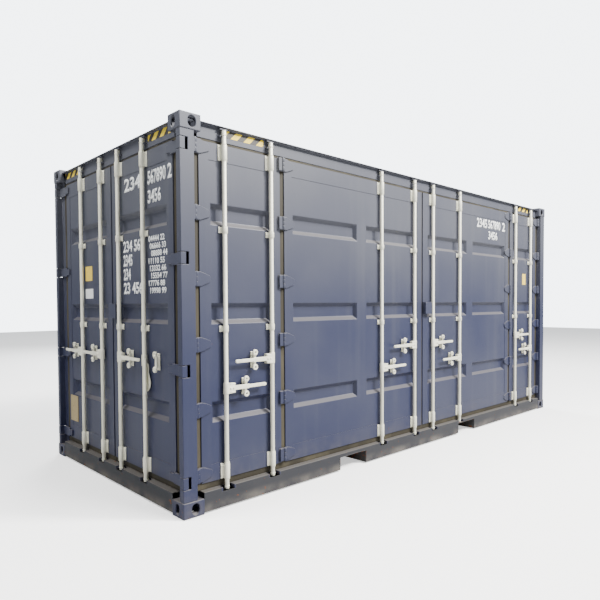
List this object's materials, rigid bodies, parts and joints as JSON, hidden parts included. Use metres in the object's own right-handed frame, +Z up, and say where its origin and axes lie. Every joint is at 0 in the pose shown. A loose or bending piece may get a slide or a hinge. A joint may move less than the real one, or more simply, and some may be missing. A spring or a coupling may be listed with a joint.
{
  "type": "shipping container",
  "caption": "High-cube steel shipping container with folding side doors, hinged double end doors, turning lock bars, corner castings and fork pockets.",
  "frame": {"origin": "centre of the footprint at the underside of the bottom castings", "axes": "+X along the length away from the end doors, +Y away from the side doors, +Z up"},
  "size_m": [6.058, 2.438, 2.896],
  "materials": {
    "navy_paint": "semi-gloss dark blue-grey paint, chalked",
    "lock_gear_zinc": "pale zinc, dull",
    "seal_rubber": "olive grey rubber, matt",
    "floor_ply": "sealed hardwood ply, worn",
    "underframe_paint": "dark underframe paint"
  },
  "bodies": {
    "frame": {"bottom_corner_castings": "navy_paint", "cross_members": "underframe_paint", "end_cam_keepers": "navy_paint", "end_header": "navy_paint", "end_hinge_pins": "navy_paint", "end_sill": "navy_paint", "front_bottom_rail": "navy_paint", "front_top_rail": "navy_paint", "front_wall": "navy_paint", "left_fork_tunnel": "underframe_paint", "left_narrow_leaf": "navy_paint", "left_wide_leaf": "navy_paint", "near_door_post": "navy_paint", "near_front_post": "navy_paint", "plywood_floor": "floor_ply", "rear_bottom_rail": "navy_paint", "rear_door_post": "navy_paint", "rear_front_post": "navy_paint", "rear_top_rail": "navy_paint", "rear_wall": "navy_paint", "right_fork_tunnel": "underframe_paint", "right_narrow_leaf": "navy_paint", "right_wide_leaf": "navy_paint", "roof_sheet": "navy_paint", "side_bar_fittings": "lock_gear_zinc", "side_cam_keepers": "navy_paint", "side_header": "navy_paint", "side_leaf_gaskets": "seal_rubber", "side_leaf_hinges": "navy_paint", "side_lock_box": "navy_paint", "side_sill": "navy_paint", "top_corner_castings": "navy_paint"},
    "right_end_door": {"right_end_leaf": "navy_paint", "right_end_gasket": "seal_rubber", "right_end_hinge_blades": "navy_paint", "right_end_bar_fittings": "lock_gear_zinc", "end_lock_box": "navy_paint"},
    "left_end_door": {"left_end_leaf": "navy_paint", "left_end_gasket": "seal_rubber", "left_end_hinge_blades": "navy_paint", "left_end_bar_fittings": "lock_gear_zinc"},
    "side_lock_bar_1": {"side_lock_bar_1": "lock_gear_zinc"},
    "side_lock_bar_2": {"side_lock_bar_2": "lock_gear_zinc"},
    "side_lock_bar_3": {"side_lock_bar_3": "lock_gear_zinc"},
    "side_lock_bar_4": {"side_lock_bar_4": "lock_gear_zinc"},
    "side_lock_bar_5": {"side_lock_bar_5": "lock_gear_zinc"},
    "side_lock_bar_6": {"side_lock_bar_6": "lock_gear_zinc"},
    "side_lock_bar_7": {"side_lock_bar_7": "lock_gear_zinc"},
    "side_lock_bar_8": {"side_lock_bar_8": "lock_gear_zinc"},
    "right_outer_end_lock_bar": {"right_outer_end_lock_bar": "lock_gear_zinc"},
    "right_inner_end_lock_bar": {"right_inner_end_lock_bar": "lock_gear_zinc"},
    "left_inner_end_lock_bar": {"left_inner_end_lock_bar": "lock_gear_zinc"},
    "left_outer_end_lock_bar": {"left_outer_end_lock_bar": "lock_gear_zinc"}
  },
  "joints": [
    {"name": "right_end_door_hinge", "type": "hinge", "parent": "frame", "child": "right_end_door", "pos_m": [-3.003, -1.193, 1.448], "axis": [0, 0, 1], "range_deg": [0, 255]},
    {"name": "left_end_door_hinge", "type": "hinge", "parent": "frame", "child": "left_end_door", "pos_m": [-3.003, 1.193, 1.448], "axis": [0, 0, -1], "range_deg": [0, 255]},
    {"name": "side_bar_1_turn", "type": "hinge", "parent": "frame", "child": "side_lock_bar_1", "pos_m": [-2.63, -1.189, 1.448], "axis": [0, 0, 1], "range_deg": [-90, 0]},
    {"name": "side_bar_2_turn", "type": "hinge", "parent": "frame", "child": "side_lock_bar_2", "pos_m": [-2.17, -1.189, 1.448], "axis": [0, 0, -1], "range_deg": [-90, 0]},
    {"name": "side_bar_3_turn", "type": "hinge", "parent": "frame", "child": "side_lock_bar_3", "pos_m": [-0.735, -1.189, 1.448], "axis": [0, 0, 1], "range_deg": [-90, 0]},
    {"name": "side_bar_4_turn", "type": "hinge", "parent": "frame", "child": "side_lock_bar_4", "pos_m": [-0.175, -1.189, 1.448], "axis": [0, 0, -1], "range_deg": [-90, 0]},
    {"name": "side_bar_5_turn", "type": "hinge", "parent": "frame", "child": "side_lock_bar_5", "pos_m": [0.175, -1.189, 1.448], "axis": [0, 0, 1], "range_deg": [-90, 0]},
    {"name": "side_bar_6_turn", "type": "hinge", "parent": "frame", "child": "side_lock_bar_6", "pos_m": [0.735, -1.189, 1.448], "axis": [0, 0, -1], "range_deg": [-90, 0]},
    {"name": "side_bar_7_turn", "type": "hinge", "parent": "frame", "child": "side_lock_bar_7", "pos_m": [2.17, -1.189, 1.448], "axis": [0, 0, 1], "range_deg": [-90, 0]},
    {"name": "side_bar_8_turn", "type": "hinge", "parent": "frame", "child": "side_lock_bar_8", "pos_m": [2.63, -1.189, 1.448], "axis": [0, 0, -1], "range_deg": [-90, 0]},
    {"name": "right_outer_end_bar_turn", "type": "hinge", "parent": "right_end_door", "child": "right_outer_end_lock_bar", "pos_m": [-2.999, -0.61, 1.448], "axis": [0, 0, 1], "range_deg": [-90, 0]},
    {"name": "right_inner_end_bar_turn", "type": "hinge", "parent": "right_end_door", "child": "right_inner_end_lock_bar", "pos_m": [-2.999, -0.175, 1.448], "axis": [0, 0, 1], "range_deg": [-90, 0]},
    {"name": "left_inner_end_bar_turn", "type": "hinge", "parent": "left_end_door", "child": "left_inner_end_lock_bar", "pos_m": [-2.999, 0.175, 1.448], "axis": [0, 0, -1], "range_deg": [-90, 0]},
    {"name": "left_outer_end_bar_turn", "type": "hinge", "parent": "left_end_door", "child": "left_outer_end_lock_bar", "pos_m": [-2.999, 0.61, 1.448], "axis": [0, 0, -1], "range_deg": [-90, 0]}
  ]
}
